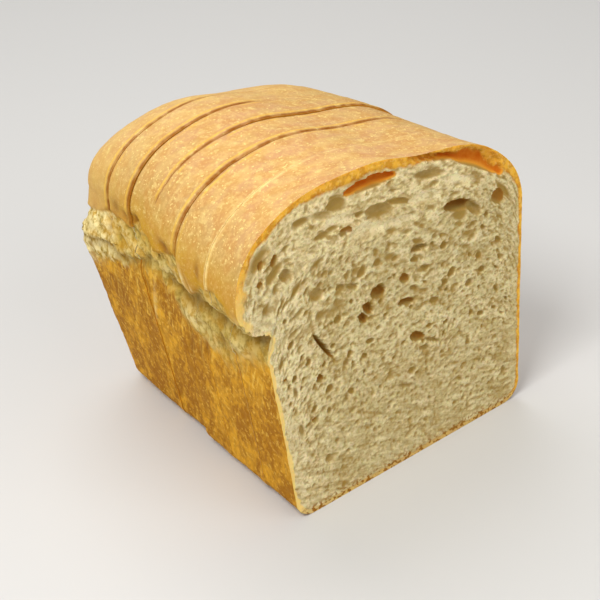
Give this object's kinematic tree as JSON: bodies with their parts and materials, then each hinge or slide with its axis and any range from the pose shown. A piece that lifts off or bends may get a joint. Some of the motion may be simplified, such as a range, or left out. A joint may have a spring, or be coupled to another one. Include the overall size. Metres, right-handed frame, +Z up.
{
  "type": "olive oil sandwich loaf",
  "caption": "Half of a pan-baked sandwich loaf, cut across to show its crumb and sliced down to the heel, with a domed crust overhanging one torn side",
  "frame": {"origin": "on the surface the loaf stands on, under the middle of its bounding box", "axes": "+Z up; +Y from the cut face into the loaf, towards the heel; +X across the loaf, towards the plain side, with the torn side under the overhanging dome at -X"},
  "size_m": [0.1115, 0.1116, 0.1076],
  "materials": {
    "cut_bread": "open cream crumb with a thin golden crust round it, dry and matte",
    "crust_bread": "baked golden crust, matte, lightly dusted with fine meal on the dome"
  },
  "bodies": {
    "root": {"slice_1": "cut_bread", "slice_2": "crust_bread", "slice_3": "crust_bread", "slice_4": "crust_bread", "slice_5": "crust_bread", "heel": "crust_bread"}
  },
  "joints": []
}
